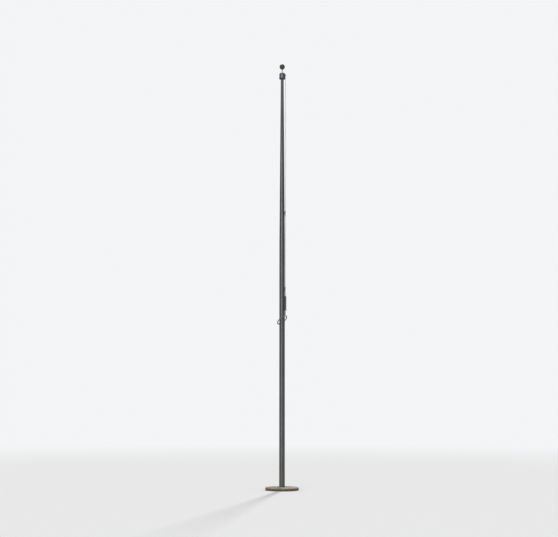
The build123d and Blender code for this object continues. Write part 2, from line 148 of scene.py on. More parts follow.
backdrop_colour = (0.90, 0.91, 0.92)
floor_colour = (0.80, 0.80, 0.79)
floor_reach = 60
floor_near = 8     # from here to floor_far, the floor fades into the backdrop
floor_far = 26
even_light = 0.60

world = bpy.data.worlds.new("studio")
world.use_nodes = True
bpy.context.scene.world = world
surround = world.node_tree.nodes["Background"]
seen = Socket(world.node_tree.nodes.new("ShaderNodeLightPath").outputs["Is Camera Ray"])
plug(surround, {"Color": backdrop_colour, "Strength": even_light + seen * (1 - even_light)})

floor_finish, shader, place = start_finish("studio_floor")
distance = place.add("ShaderNodeVectorMath", {"operation": "LENGTH"}, {0: place}, "Value")
plug(shader, {"Base Color": floor_colour, "Roughness": 0.9, "Specular IOR Level": 0.1})
seen = place.add("ShaderNodeLightPath", {}, {}, "Is Camera Ray")
far = between(distance, floor_near, floor_far) * seen
glow = place.add("ShaderNodeEmission", {}, {"Color": backdrop_colour})
both = far.add("ShaderNodeMixShader", {}, {0: far, 1: Socket(shader.outputs[0]), 2: glow})
plug(floor_finish.node_tree.nodes["Material Output"], {"Surface": both})

floor_mesh = bpy.data.meshes.new("studio_floor")
corners = [(x * floor_reach, y * floor_reach, 0) for x, y in ((-1, -1), (1, -1), (1, 1), (-1, 1))]
floor_mesh.from_pydata(corners, [], [(0, 1, 2, 3)])
floor_mesh.materials.append(floor_finish)
add_object("studio_floor", floor_mesh)

for name, strength, angle, elevation, azimuth, in_metals in (
        ("key", 1.9, 6, 38, 11, False), ("fill", 1.15, 34, 17, 199, True)):
    lamp = bpy.data.lights.new(name, "SUN")
    lamp.energy = strength
    lamp.angle = radians(angle)
    holder = add_object(name, lamp)
    holder.rotation_euler = (radians(elevation - 90), 0, radians(-azimuth))
    holder.visible_glossy = in_metals


# Ropes: white 8 mm diamond-braid halyard, twelve strands over and under. It runs up the shaft, over the
# sheave and down outside to the upper snap, then between the snaps, and on to the counterweight.
def new_group(name, inputs):
    """A Geometry Nodes tree with named inputs, each given as its kind of socket."""
    group = bpy.data.node_groups.new(name, "GeometryNodeTree")
    group.interface.new_socket("Geometry", in_out="INPUT", socket_type="NodeSocketGeometry")
    for title, kind in inputs.items():
        group.interface.new_socket(title, in_out="INPUT", socket_type="NodeSocket" + kind)
    group.interface.new_socket("Geometry", in_out="OUTPUT", socket_type="NodeSocketGeometry")
    entry = group.nodes.new("NodeGroupInput")
    return group, {socket.name: Socket(socket) for socket in entry.outputs if socket.name}


def close_group(shape, finish):
    """Ends a tree with Realize Instances, Set Material and its output."""
    shape = shape.add("GeometryNodeRealizeInstances", {}, {"Geometry": shape})
    shape = shape.add("GeometryNodeSetMaterial", {}, {"Geometry": shape, "Material": finish})
    plug(shape.output.id_data.nodes.new("NodeGroupOutput"), {0: shape})


def bake(source):
    """The plain mesh of an object with its modifier, which is then removed."""
    graph = bpy.context.evaluated_depsgraph_get()
    mesh = bpy.data.meshes.new_from_object(source.evaluated_get(graph), depsgraph=graph)
    bpy.data.objects.remove(source)
    return mesh


def grow(source, group, values):
    """The plain mesh that a tree makes from an object."""
    modifier = source.modifiers.new("grow", "NODES")
    modifier.node_group = group
    for item in group.interface.items_tree:
        if item.in_out == "INPUT" and item.name in values:
            modifier[item.identifier] = values[item.name]
    return bake(source)


def place_piece(name, mesh, finish, body, node):
    """Puts a mesh in the scene with its finish, on its body, for the node that it stands for."""
    mesh.name = name
    mesh.materials.clear()
    mesh.materials.append(finish)
    mesh.shade_smooth()
    piece = add_object(name, mesh)
    if body:
        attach(piece, body)
    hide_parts(node)
    return piece


rope_radius = 0.004
rope_relief = 0.00055
rope_lay = 0.026
rope_strands = 6       # each way round
rope_sides = 24
rope_step = 0.0009
inner_rope_step = 0.0035
strand_middle = 0.6    # height of a strand where it passes level, and what it gains where it runs over
strand_lift = 0.4
fibre_turn = 7

braider, entry = new_group("braid", {
    "Radius": "Float", "Relief": "Float", "Step": "Float", "Material": "Material"})
route = entry["Geometry"]
along = route.add("GeometryNodeSplineParameter", {}, {}, "Length")
around = route.add("GeometryNodeSplineParameter", {}, {}, "Factor")
line = route.add("GeometryNodeResampleCurve", {"mode": "LENGTH"},
                 {"Curve": route, "Length": entry["Step"]})
profile = route.add("GeometryNodeCurvePrimitiveCircle", {},
                    {"Resolution": rope_sides, "Radius": entry["Radius"]})
caught = []
for shape, value in ((line, along), (profile, around)):
    node = braider.nodes.new("GeometryNodeCaptureAttribute")
    node.capture_items.new("FLOAT", "value")
    plug(node, {"Geometry": shape, 1: value})
    caught.append((Socket(node.outputs[0]), Socket(node.outputs[1])))
(line, along), (profile, around) = caught
rope = route.add("GeometryNodeCurveToMesh", {},
                 {"Curve": line, "Profile Curve": profile, "Fill Caps": True})
turn = around * (pi * rope_strands)
climb = along * (pi * rope_strands / rope_lay)
right = turn + climb
left = turn - climb
right_cosine = right.maths("COSINE", right)
left_cosine = left.maths("COSINE", left)
over = right_cosine * left_cosine
height = over.maths("MAXIMUM", right_cosine * right_cosine * (strand_middle + over * strand_lift),
                    left_cosine * left_cosine * (strand_middle - over * strand_lift))
normal = rope.add("GeometryNodeInputNormal", {}, {})
offset = normal.add("ShaderNodeVectorMath", {"operation": "SCALE"},
                    {0: normal, "Scale": (height - 1) * entry["Relief"]})
rope = rope.add("GeometryNodeSetPosition", {}, {"Geometry": rope, "Offset": offset})
angle = around * (2 * pi)
for title, value in (("crown", height), ("side", over), ("climb", climb),
                     ("cosine", angle.maths("COSINE", angle)), ("sine", angle.maths("SINE", angle))):
    rope = rope.add("GeometryNodeStoreNamedAttribute", {"data_type": "FLOAT", "domain": "POINT"},
                    {"Geometry": rope, "Name": title, "Value": value})
close_group(rope, entry["Material"])

rope_finish, shader, place = start_finish("braided_rope")


def read(title):
    return place.add("ShaderNodeAttribute", {"attribute_name": title}, {}, "Fac")


def grain(place, scale, detail=3, stretch=None, rough=0.5):
    """Noise from 0 to 1, stretched by a factor along each axis."""
    if stretch:
        place = place.add("ShaderNodeVectorMath", {"operation": "MULTIPLY"}, {0: place, 1: stretch})
    return place.add("ShaderNodeTexNoise", {},
                     {"Vector": place, "Scale": scale, "Detail": detail, "Roughness": rough})


def paint(shader, colour, roughness, bumps=None, **others):
    """Gives a shader its colour, roughness, bumps (height of 0 to 1, depth in metres) and the rest."""
    if bumps:
        height, depth = bumps
        others["Normal"] = height.add("ShaderNodeBump", {},
                                      {"Height": height, "Distance": depth, "Strength": 1.0})
    plug(shader, {"Base Color": colour, "Roughness": roughness, **others})


crown = read("crown")
on_top = between(read("side"), -0.1, 0.1)
turn = place.maths("ARCTAN2", read("sine"), read("cosine")) * (rope_strands / 2)
strand = turn + read("climb") * (1 - on_top * 2)
fibres = strand.maths("SINE", strand * fibre_turn) * 0.5 + 0.5
fray = grain(place, 1400, 2)
dirt = between(grain(place, 9, 4, (1, 1, 0.4)), 0.42, 0.75)
# Painted shade: the valleys between the strands are painted darker than the strands' crowns.
crevice_shaded_colour = mix(between(crown, 0.1, 0.85), (0.24, 0.235, 0.215), (0.62, 0.61, 0.575))
# Real dirt and fraying are mixed over that painted shade.
soiled_and_crevice_shaded = mix(fray * 0.3 + dirt * 0.5, crevice_shaded_colour, (0.27, 0.255, 0.225))
paint(shader, soiled_and_crevice_shaded, 0.72 + fray * 0.2, (fibres * 0.6 + fray * 0.6, 0.00012),
      **{"Specular IOR Level": 0.25, "Sheen Weight": 0.25, "Sheen Roughness": 0.5})


def route_curve(points, straight=False):
    """A curve object on given points. Its line is smooth unless it is drawn tight."""
    curve = bpy.data.curves.new("route", "CURVE")
    curve.dimensions = "3D"
    curve.resolution_u = 24
    spline = curve.splines.new("POLY" if straight else "NURBS")
    spline.points.add(len(points) - 1)
    for point, where in zip(spline.points, points):
        point.co = (*where, 1)
    if not straight:
        spline.order_u = 4
        spline.use_endpoint_u = True
    return add_object("route", curve)


def braid_rope(points, radius=rope_radius, step=rope_step, straight=True):
    return grow(route_curve(points, straight), braider, {
        "Radius": radius, "Relief": rope_relief * radius / rope_radius, "Step": step,
        "Material": rope_finish})


def join_meshes(*meshes):
    """One mesh from several."""
    form = bmesh.new()
    for mesh in meshes:
        form.from_mesh(mesh)
    joined = bpy.data.meshes.new("joined")
    form.to_mesh(joined)
    form.free()
    return joined


line_turn = Matrix.Rotation(radians(-32), 4, "Z")
line_radius = 0.073
line_foot = line_turn @ Vector((line_radius, 0, 0))
rope_overlap = 0.002   # of the outer run and the turn over the sheave
knot_reach = 0.01387   # from a knot's middle to its end on the line
sheave_radius = line_radius / 2
turn_steps = 24


def line_point(height):
    return (line_foot.x, line_foot.y, height)


def spaced(start, end, steps):
    """Even steps from start to end, both included."""
    return [start + (end - start) * i / steps for i in range(steps + 1)]


outer_low, outer_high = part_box("halyard_outer")
sheave_height = outer_high.z
upper_knot, lower_knot, weight_knot = (
    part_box(knot)[1].z - knot_reach for knot in ("upper_knot", "lower_knot", "weight_knot"))

outer = place_piece("halyard_outside", braid_rope(
    [line_point(sheave_height + rope_overlap), line_point(upper_knot)]),
    rope_finish, None, "halyard_outer")
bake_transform(outer)
place_piece("halyard_between_snaps", join_meshes(
    braid_rope([line_point(upper_knot), line_point(lower_knot)]),
    braid_rope([line_point(lower_knot), line_point(weight_knot)])),
    rope_finish, "flag_line", "hoist_rope")
place_piece("halyard_inside", braid_rope(
    [(0, 0, sheave_height), (0, 0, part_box("halyard_inner")[0].z)], step=inner_rope_step),
    rope_finish, "pole", "halyard_inner")

turn_points = [line_turn @ Vector((sheave_radius - sheave_radius * cos(a), 0,
                                   sheave_height + sheave_radius * sin(a)))
               for a in spaced(0, pi, turn_steps)]
place_piece("halyard_over_sheave", braid_rope(turn_points), rope_finish, "truck", "halyard_turn")

# Knots: each snap hangs in a loop of the halyard that is closed by three tight turns round the line. The
# counterweight hangs straight below its knot, and a plain stopper knot ends the rope inside the shaft.
turn_radius = 0.0069
knot_rope = 0.0034
knot_half = 0.0095
knot_turns = 3
turn_points_each = 8
knot_line = 0.0142     # half the piece of straight line in a knot
loop_radius = 0.008
loop_steps = 14
loop_open = 38         # half the loop's opening, in degrees
snap_side = hypot(0.026, 0.007) / 2 + 0.0045
snap_loop_drop = -0.010
weight_loop_drop = -0.018
stopper_reach = 0.010
stopper_radius = 0.0062
stopper_rope = 0.0036
stopper_steps = 40
stopper_each = 9


def knot_mesh(centre, side, drop):
    """Turns round the line, and a loop in the upright plane across it, centred beside and below."""
    wrap_steps = knot_turns * turn_points_each
    wraps = [(0.001, 0.001, knot_half - 0.003)]
    for i in range(wrap_steps + 1):
        angle = 2 * pi * i / turn_points_each
        wraps.append((turn_radius * cos(angle), turn_radius * sin(angle),
                      knot_half - 2 * knot_half * i / wrap_steps))
    wraps.append((0.001, 0.001, 0.003 - knot_half))
    start = atan2(-drop, side) if side else pi / 2
    open_half = radians(loop_open)
    loop = [(0.002, -0.004 if side else 0.002, 0.002)]
    for i in range(loop_steps + 1):
        angle = start + open_half + (2 * pi - 2 * open_half) * i / loop_steps
        loop.append((0.002 - 0.004 * i / loop_steps, -side + loop_radius * cos(angle),
                     drop + loop_radius * sin(angle)))
    loop.append((-0.002, -0.004 if side else -0.002, -0.003))
    mesh = join_meshes(braid_rope(wraps, knot_rope, straight=False),
                       braid_rope(loop, knot_rope, straight=False),
                       braid_rope([(0, 0, -knot_line), (0, 0, knot_line)]))
    mesh.transform(line_turn @ Matrix.Translation((line_radius, 0, centre)))
    return mesh


for node, height, side, drop in (("upper_knot", upper_knot, snap_side, snap_loop_drop),
                                 ("lower_knot", lower_knot, snap_side, snap_loop_drop),
                                 ("weight_knot", weight_knot, 0, weight_loop_drop)):
    place_piece(node.replace("_", "_halyard_"), knot_mesh(height, side, drop),
                rope_finish, "flag_line", node)

stopper_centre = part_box("stopper_knot")[0].z + stopper_reach
ball_turns = []
for i in range(stopper_steps + 1):
    fall = pi * i / stopper_steps
    angle = 2 * pi * i / stopper_each
    ball_turns.append((stopper_radius * sin(fall) * cos(angle), stopper_radius * sin(fall) * sin(angle),
                       stopper_centre + stopper_radius * cos(fall)))
place_piece("halyard_stopper_knot", braid_rope(ball_turns, stopper_rope, straight=False),
            rope_finish, "pole", "stopper_knot")


# Footing: a round concrete collar cast in a tube form round the ground sleeve and trowelled on top. Its
# edge is worn and chipped, the form left a faint spiral seam, and its side is darkened, partly by soil
# stain and partly by painted shade.
def full_turn(count):
    """Even angles all round."""
    return [2 * pi * i / count for i in range(count)]


def circle(radius, height, count):
    """One loop of points, or the pole itself where the radius is nothing."""
    if not radius:
        return [(0, 0, height)]
    return [(radius * cos(a), radius * sin(a), height) for a in full_turn(count)]


def skin(loops, joined=False):
    """Points and faces through loops of points. Joined loops close on each other."""
    points, starts = [], []
    for loop in loops:
        starts.append(len(points))
        points.extend(loop)
    faces = []
    for first in range(len(loops) if joined else len(loops) - 1):
        second = (first + 1) % len(loops)
        a, b = loops[first], loops[second]
        for i in range(max(len(a), len(b))):
            corners = (starts[first] + i % len(a), starts[first] + (i + 1) % len(a),
                       starts[second] + (i + 1) % len(b), starts[second] + i % len(b))
            faces.append(list(dict.fromkeys(corners)))
    return points, faces


def shell_mesh(*shells, sharp=32):
    """One mesh of closed shells with outward faces, whose edges are sharp above an angle."""
    form = bmesh.new()
    for points, faces in shells:
        corners = [form.verts.new(point) for point in points]
        for face in faces:
            form.faces.new([corners[i] for i in face])
    bmesh.ops.recalc_face_normals(form, faces=form.faces[:])
    mesh = bpy.data.meshes.new("shell")
    form.to_mesh(mesh)
    form.free()
    mesh.set_sharp_from_angle(angle=radians(sharp))
    return mesh


def turned(profile, count=96, joined=True):
    """Shell turned about the Z axis from radii and heights."""
    return skin([circle(radius, height, count) for radius, height in profile], joined)


def arc(radius, centre_r, centre_z, start, end, steps):
    """Profile points on an arc, between two angles in degrees."""
    angles = [radians(a) for a in spaced(start, end, steps)]
    return [(centre_r + radius * cos(a), centre_z + radius * sin(a)) for a in angles]


def share(value):
    """A value kept between 0 and 1."""
    return max(0.0, min(1.0, value))


def height_of(place):
    """A point's height, from its coordinates."""
    return place.add("ShaderNodeSeparateXYZ", {}, {"Vector": place}, "Z")


footing_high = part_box("footing")[1]
footing_radius = footing_high.x
footing_top = footing_high.z
footing_hole = 0.0776
footing_edge = 0.008
footing_sides = 420
top_rings = 62
side_rings = 14
trowel_depth = 0.0022
grit_depth = 0.0003
pit_depth = 0.006
chip_depth = 0.0075
chip_reach = 0.022
crumble_depth = 0.0012
seam_rise = 0.085      # of the tube form's spiral seam, for each turn
seam_depth = 0.0006
wave_depth = 0.0009


def worn_place(x, y, z):
    """Where a point of the cast form lies now: trowelled, pitted, chipped, seamed and wavy."""
    radius = hypot(x, y)
    if radius <= footing_hole + 0.004 or z <= 0.0005:
        return x, y, z
    here = Vector((x, y, z))
    turn = atan2(y, x)
    out = share((radius - 0.1) / 0.2)
    sweep = 0.12 * cos(2 * turn + 1) + 0.05 * cos(5 * turn)
    swirl = noise.noise(Vector(((radius + sweep * radius) * 42, x * 5, y * 5)))
    drop = trowel_depth * (0.5 + 0.5 * swirl) * (0.25 + 0.75 * out)
    drop += grit_depth * (0.5 + 0.5 * noise.noise(here * 190))
    drop += max(0.0, noise.noise(here * 95) - 0.42) * pit_depth
    if z < footing_top - 0.001:
        drop *= z / footing_top
    z -= drop
    edge = max(0.0, 1 - hypot(radius - footing_radius, z - footing_top) / chip_reach)
    cluster = share(0.4 + 2.2 * noise.noise(here * 4.3))
    chip = cluster * max(0.0, noise.noise(here * 17) + 0.4 * noise.noise(here * 47) - 0.2) * 3
    broken = share(chip) * chip_depth * (0.65 + 0.35 * noise.noise(here * 140))
    crumble = crumble_depth * max(0.0, 0.4 + noise.noise(here * 70))
    inward = (broken + crumble) * edge
    seam = wave = 0
    if radius > footing_radius - 0.001:
        seam_turn = (turn / (2 * pi) + z / seam_rise) % 1
        seam = seam_depth * max(0.0, 1 - abs(seam_turn - 0.5) * 40)
    if radius > footing_radius - 0.01:
        wave = wave_depth * (0.5 + 0.5 * noise.noise(here * 14))
    scale = 1 - (inward + seam + wave) / radius
    return x * scale, y * scale, max(0.001, z - inward * 0.8)


flat_radius = footing_radius - footing_edge
profile = [(footing_hole, z) for z in spaced(0, footing_top, 3)]
profile += [(radius, footing_top) for radius in spaced(footing_hole, flat_radius, top_rings)[1:-1]]
profile += arc(footing_edge, flat_radius, footing_top - footing_edge, 90, 0, 7)
profile += [(footing_radius, (footing_top - footing_edge) * (1 - i / side_rings))
            for i in range(1, side_rings + 1)]
profile += [(0.2, 0.0)]
points, faces = turned(profile, footing_sides)
worn = [worn_place(*point) for point in points]

concrete, shader, place = start_finish("worn_concrete")
broad = grain(place, 6, 5)
mottle = grain(place, 38, 6, rough=0.62)
sand_grain = grain(place, 420, 3)
pores = place.add("ShaderNodeTexVoronoi", {}, {"Vector": place, "Scale": 95}, "Distance")
hole = (1 - between(pores, 0.07, 0.16)) * between(mottle, 0.5, 0.62)
top_colour = mix(between(broad, 0.35, 0.66), (0.31, 0.285, 0.215), (0.455, 0.43, 0.345))
top_colour = mix(between(mottle, 0.45, 0.7) * 0.55, top_colour, (0.245, 0.215, 0.155))
# Below the top edge the side is painted dark brown: partly soil stain, partly painted shade on the side.
soil_stain_and_shade = between(footing_top - height_of(place) + mottle * 0.02, 0.012, 0.03)
stained_and_shaded_side = mix(between(mottle, 0.35, 0.65), (0.052, 0.036, 0.024), (0.118, 0.088, 0.06))
colour = mix(soil_stain_and_shade * 0.92, top_colour, stained_and_shaded_side)
colour = mix(between(sand_grain, 0.6, 0.76) * 0.5, colour, (0.13, 0.115, 0.09))
colour = mix((1 - between(sand_grain, 0.24, 0.38)) * 0.35, colour, (0.55, 0.53, 0.46))
colour = mix(hole * 0.8, colour, (0.07, 0.06, 0.048))
paint(shader, colour, 0.86 + mottle * 0.1, (mottle * 0.5 + sand_grain * 0.5 - hole * 1.4, 0.0009),
      **{"Specular IOR Level": 0.3})
footing_mesh = shell_mesh((worn, faces), sharp=60)
place_piece("concrete_footing", footing_mesh, concrete, "pole", "footing")


# Ground sleeve, sand and seal: a galvanised steel tube cast into the concrete, packed with dry sand
# round the shaft, and closed on top by mastic that was smoothed with a finger up against the shaft.
def dress(finish, *nodes):
    """Gives CAD nodes that stay as they are a finish."""
    for node in nodes:
        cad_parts[node].data.materials.clear()
        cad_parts[node].data.materials.append(finish)


galvanised, shader, place = start_finish("galvanised_steel")
spangle = place.add("ShaderNodeTexVoronoi", {}, {"Vector": place, "Scale": 110}, "Color")
flake = spangle.add("ShaderNodeSeparateColor", {}, {"Color": spangle})
rust = between(grain(place, 60, 4), 0.6, 0.7)
colour = mix(flake, (0.36, 0.38, 0.39), (0.56, 0.58, 0.59))
colour = mix(rust, colour, (0.15, 0.078, 0.042))
paint(shader, colour, 0.38 + flake * 0.2 + rust * 0.3, Metallic=0.9 - rust * 0.8)
dress(galvanised, "ground_sleeve")

sand, shader, place = start_finish("packed_sand")
grit = grain(place, 900, 3)
paint(shader, mix(grit, (0.32, 0.25, 0.16), (0.58, 0.50, 0.37)), 0.95, (grit, 0.0006))
dress(sand, "sand_fill")

seal_low, seal_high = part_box("weather_seal")
seal_outer = seal_high.x
seal_inner = 0.0511
seal_sunk = 0.002      # its rim, below the footing's top
seal_curve = 2.2
seal_steps = 14
finger_depth = 0.0011
seal_rise = seal_high.z - footing_top + seal_sunk
profile = [(seal_inner, seal_low.z), (seal_outer, seal_low.z)]
profile += [(seal_outer - (seal_outer - seal_inner) * i / seal_steps,
             footing_top - seal_sunk + seal_rise * (i / seal_steps) ** seal_curve)
            for i in range(seal_steps + 1)]
points, faces = turned(profile, 128)
pressed = []
for x, y, z in points:
    radius = hypot(x, y)
    if z > seal_low.z + 0.001 and radius > seal_inner + 0.0005:
        z -= finger_depth * (0.5 + 0.5 * noise.noise(Vector((atan2(y, x) * 9, radius * 60, 5))))
    pressed.append((x, y, z))

mastic, shader, place = start_finish("weathered_mastic")
dust = between(grain(place, 70, 5), 0.4, 0.72)
paint(shader, mix(dust, (0.085, 0.085, 0.083), (0.25, 0.225, 0.185)),
      0.6 + dust * 0.3, (grain(place, 240, 3), 0.0003))
seal_mesh = shell_mesh((pressed, faces), sharp=50)
place_piece("mastic_seal", seal_mesh, mastic, "pole", "weather_seal")


# Shaft: one seamless aluminium tube, cone-tapered over its upper part and ground with a belt round it,
# which leaves a fine satin. Rain has left dull streaks, and soil has splashed its foot.
def cut_out(mesh, cutter):
    """The first mesh less the second."""
    holders = [add_object("cut", shape) for shape in (mesh, cutter)]
    modifier = holders[0].modifiers.new("cut", "BOOLEAN")
    modifier.operation = "DIFFERENCE"
    modifier.solver = "EXACT"
    modifier.object = holders[1]
    result = bake(holders[0])
    bpy.data.objects.remove(holders[1])
    return result


def rounded_outline(half_width, half_height, corner, steps=10):
    """Points round a rectangle with round corners."""
    x, z = half_width - corner, half_height - corner
    return (arc(corner, x, z, 0, 90, steps) + arc(corner, -x, z, 90, 180, steps)
            + arc(corner, -x, -z, 180, 270, steps) + arc(corner, x, -z, 270, 360, steps))


def plate(outline, middle, near, far):
    """A plate with an outline of x and z about a height, between two places along Y."""
    return skin([[(0, y, middle)] if cap else [(x, y, middle + z) for x, z in outline]
                 for y, cap in ((near, True), (near, False), (far, False), (far, True))])


def moved(shell, matrix):
    points, faces = shell
    return [tuple(matrix @ Vector(point)) for point in points], faces


shaft_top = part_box("shaft")[1].z
butt_radius = 0.0508
top_radius = 0.027
shaft_wall = 0.0032
taper_start = shaft_top - 3.2
door_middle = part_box("access_door")[0].z + 0.104
door_half_width = 0.029
door_half_height = 0.105
door_corner = 0.018
screw_radius = 0.003
screw_height = shaft_top - 0.024
screw_turns = (28, 148, 268)


def shaft_radius(height):
    if height < taper_start:
        return butt_radius
    return butt_radius + (top_radius - butt_radius) * (height - taper_start) / (shaft_top - taper_start)


def at_screws(shell):
    """One mesh of a shell made along +Z, at each place where a set screw points out of the shaft."""
    level = Matrix.Translation((0, 0, screw_height))
    outward = Matrix.Rotation(pi / 2, 4, "Y")
    return shell_mesh(*(moved(shell, level @ Matrix.Rotation(radians(turn), 4, "Z") @ outward)
                        for turn in screw_turns))


heights = [0.0, 0.07]
heights += [0.07 + 0.11 * i for i in range(1, 10)]
heights += [door_middle - 0.125 + 0.25 * i / 25 for i in range(26)]
heights += spaced(1.5, taper_start, 20)[:-1] + spaced(taper_start, shaft_top, 32)
outer_wall = [(shaft_radius(z), z) for z in heights]
inner_wall = [(shaft_radius(z) - shaft_wall, z) for z in reversed(heights)]
tube_mesh = shell_mesh(turned(outer_wall + inner_wall, 144))
outline = rounded_outline(door_half_width, door_half_height, door_corner)
tube_mesh = cut_out(tube_mesh, shell_mesh(plate(outline, door_middle, 0.03, 0.08)))
hole_radius = screw_radius + 0.00015
screw_hole = turned([(0, 0.018), (hole_radius, 0.018), (hole_radius, 0.035), (0, 0.035)], 32, False)
tube_mesh = cut_out(tube_mesh, at_screws(screw_hole))
tube_mesh.set_sharp_from_angle(angle=radians(32))


def satin_aluminium(name, dark, light, rings, streaks):
    """Aluminium worked round its axis: fine rings, dull mottling and streaks that run down."""
    finish, shader, place = start_finish(name)
    fine = grain(place, rings, 2, (0.004, 0.004, 1))
    coarse = grain(place, rings * 0.12, 2, (0.02, 0.02, 1))
    cloud = grain(place, 9, 4, (1, 1, 0.35))
    runs = between(grain(place, streaks, 5, (1, 1, 0.03)), 0.42, 0.8)
    worked = fine * 0.6 + coarse * 0.4
    colour = mix(worked * 0.5 + cloud * 0.5, dark, light)
    return finish, shader, place, colour, worked, cloud, runs


shaft_finish, shader, place, colour, worked, cloud, runs = satin_aluminium(
    "satin_shaft", (0.054, 0.057, 0.06), (0.145, 0.15, 0.156), 2600, 75)
reach = between(height_of(place) + grain(place, 14, 3) * 0.3, 0.62, 0.12)
drops = grain(place, 620, 4, (1, 1, 0.8), 0.6) + reach * 0.1
splash = between(drops, 0.6, 0.74) * between(reach, 0.02, 0.4)
film = reach * between(grain(place, 45, 5, (1, 1, 0.4)), 0.1, 0.8)
colour = mix(runs * 0.45, colour, (0.075, 0.075, 0.072))
colour = mix(film * 0.85, colour, (0.135, 0.115, 0.086))
colour = mix(splash * 0.55, colour, (0.185, 0.155, 0.113))
paint(shader, colour, 0.28 + worked * 0.16 + cloud * 0.1 + runs * 0.14 + film * 0.25 + splash * 0.1,
      (worked + splash, 0.00008), Metallic=0.96 - splash * 0.3 - film * 0.6)
place_piece("tapered_shaft", tube_mesh, shaft_finish, "pole", "shaft")

# Hand-hole: a frame welded inside the wall carries a flush cover of the same tube, with a tongue at the
# top and a cam lock below. It closes over the cleat that holds the inside halyard.
dress(shaft_finish, "access_door", "door_frame")

turned_steel, shader, place = start_finish("turned_stainless")
marks = grain(place, 900, 3, (1, 0.2, 0.2))
wear = grain(place, 140, 5)
paint(shader, mix(wear, (0.20, 0.197, 0.19), (0.37, 0.365, 0.353)),
      0.24 + marks * 0.16 + wear * 0.14, (marks, 0.00005), Metallic=0.95)

lock_low, lock_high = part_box("door_lock")
lock_radius = 0.0095
lock_height = lock_high.z - lock_radius
lock_face = lock_high.y
lock_length = lock_face - lock_low.y
cam_drop = 0.0185      # the cam's middle below the lock, and half its length
cam_thick = 0.003
key_steps = 72


def hexagon(half, height, count, limit=1):
    """Loop round a hexagon, whose corners are turned off at a radius."""
    loop = []
    for angle in full_turn(count):
        reach = min(half / cos((angle + pi / 6) % (pi / 3) - pi / 6), limit)
        loop.append((reach * cos(angle), reach * sin(angle), height))
    return loop


def key_hole(half, depth, bevel_width, bevel_depth):
    """Loops of a socket for a hexagon key, from its floor to its bevelled mouth. Depth is along +Z."""
    return [[(0, 0, depth)]] + [hexagon(across, z, key_steps) for across, z in (
        (half, depth), (half, bevel_depth), (half + bevel_width, 0))]


lock_loops = key_hole(0.0032, 0.006, 0.0003, 0.0002)
lock_loops += [circle(radius, depth, key_steps) for radius, depth in (
    (0.0055, 0), (0.0058, 0.0004), (0.0061, 0), (0.0086, 0), (0.0093, 0.0004), (lock_radius, 0.0011),
    (lock_radius, lock_length), (0, lock_length))]
lock_barrel = moved(skin(lock_loops),
                    Matrix.Translation((0, lock_face, lock_height)) @ Matrix.Rotation(pi / 2, 4, "X"))
cam = plate(rounded_outline(0.006, cam_drop, 0.0055, 6), lock_height - cam_drop,
            lock_low.y, lock_low.y + cam_thick)
place_piece("cam_lock", shell_mesh(lock_barrel, cam), turned_steel, "pole", "door_lock")

cast_metal, shader, place = start_finish("cast_aluminium")
sandcast = grain(place, 520, 4)
tone = grain(place, 34, 4)
paint(shader, mix(tone, (0.17, 0.173, 0.178), (0.29, 0.295, 0.302)),
      0.5 + sandcast * 0.2, (sandcast, 0.0003), Metallic=0.85)
dress(cast_metal, "cleat_bracket", "truck_stem", "truck_yoke")
dress(turned_steel, "cleat_jaws")

# Truck bearing: a cast stem is screwed fast in the shaft's top. A bronze washer on its shoulder carries
# the revolving yoke, and a spring clip on the neck keeps the yoke down.
bearing_bronze, shader, place = start_finish("bearing_bronze")
swirl = grain(place, 300, 3)
paint(shader, mix(swirl, (0.40, 0.25, 0.10), (0.58, 0.40, 0.19)), 0.3 + swirl * 0.2, Metallic=0.95)
dress(bearing_bronze, "thrust_washer")
dress(turned_steel, "retaining_clip", "sheave_axle")

screw_end = shaft_radius(screw_height) - 0.0003
screw_length = screw_end - 0.0122
screw_loops = key_hole(0.0015, 0.0026, 0.0002, 0.0001)
screw_loops += [circle(radius, depth, key_steps) for radius, depth in (
    (0.0024, 0), (screw_radius, 0.0005), (screw_radius, screw_length), (0, screw_length))]
screw = moved(skin(screw_loops), Matrix.Translation((0, 0, screw_end)) @ Matrix.Rotation(pi, 4, "X"))
place_piece("socket_set_screws", at_screws(screw), turned_steel, "pole", "stem_screws")

# Sheave: a turned aluminium wheel between the yoke's cheeks. The faces between hub and rim are
# recessed.
sheave_finish, shader, place = start_finish("turned_sheave")
centre = line_turn @ Vector((sheave_radius, 0, sheave_height))
local = place.add("ShaderNodeVectorMath", {"operation": "SUBTRACT"}, {0: place, 1: centre})
spread = local.add("ShaderNodeVectorMath", {"operation": "LENGTH"}, {0: local}, "Value")
lathe_rings = spread.maths("SINE", spread * 9000) * 0.5 + 0.5
tone = grain(place, 60, 4)
paint(shader, mix(tone, (0.155, 0.158, 0.163), (0.27, 0.274, 0.28)),
      0.3 + tone * 0.18, (lathe_rings, 0.00008), Metallic=0.92)
dress(sheave_finish, "sheave")

# Hood: a bell spun from aluminium sheet with a rolled rim, slotted from the rim up where the sheave
# stands out. Spinning left fine rings, and the top has dulled to a bluish grey.
hood_low, hood_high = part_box("hood")
hood_wall = 0.0025
hood_shoulder = 0.016
hood_side = 0.05496
hood_foot = 0.05696
hood_rim = 0.05846
rim_bead = 0.0022
spindle_hole = 0.0065
slot_half = 0.0105
slot_top = 0.0435      # above the sheave's axle
slot_from = 0.0365
slot_to = 0.075


def hood_profile(inset):
    """Outer form of the bell from its foot to the spindle, set in by an amount."""
    steps = 18
    foot_height = hood_low.z + 2 * rim_bead
    rise = hood_high.z - hood_shoulder - foot_height
    flat = hood_side - hood_shoulder
    points = [(hood_foot - inset + (hood_side - hood_foot) * (i / steps) ** 0.8,
               foot_height + rise * i / steps) for i in range(steps)]
    points += arc(hood_shoulder - inset, flat, hood_high.z - hood_shoulder, 0, 90, 12)
    points += [(flat + (spindle_hole - flat) * i / 6, hood_high.z - inset) for i in range(1, 7)]
    return points


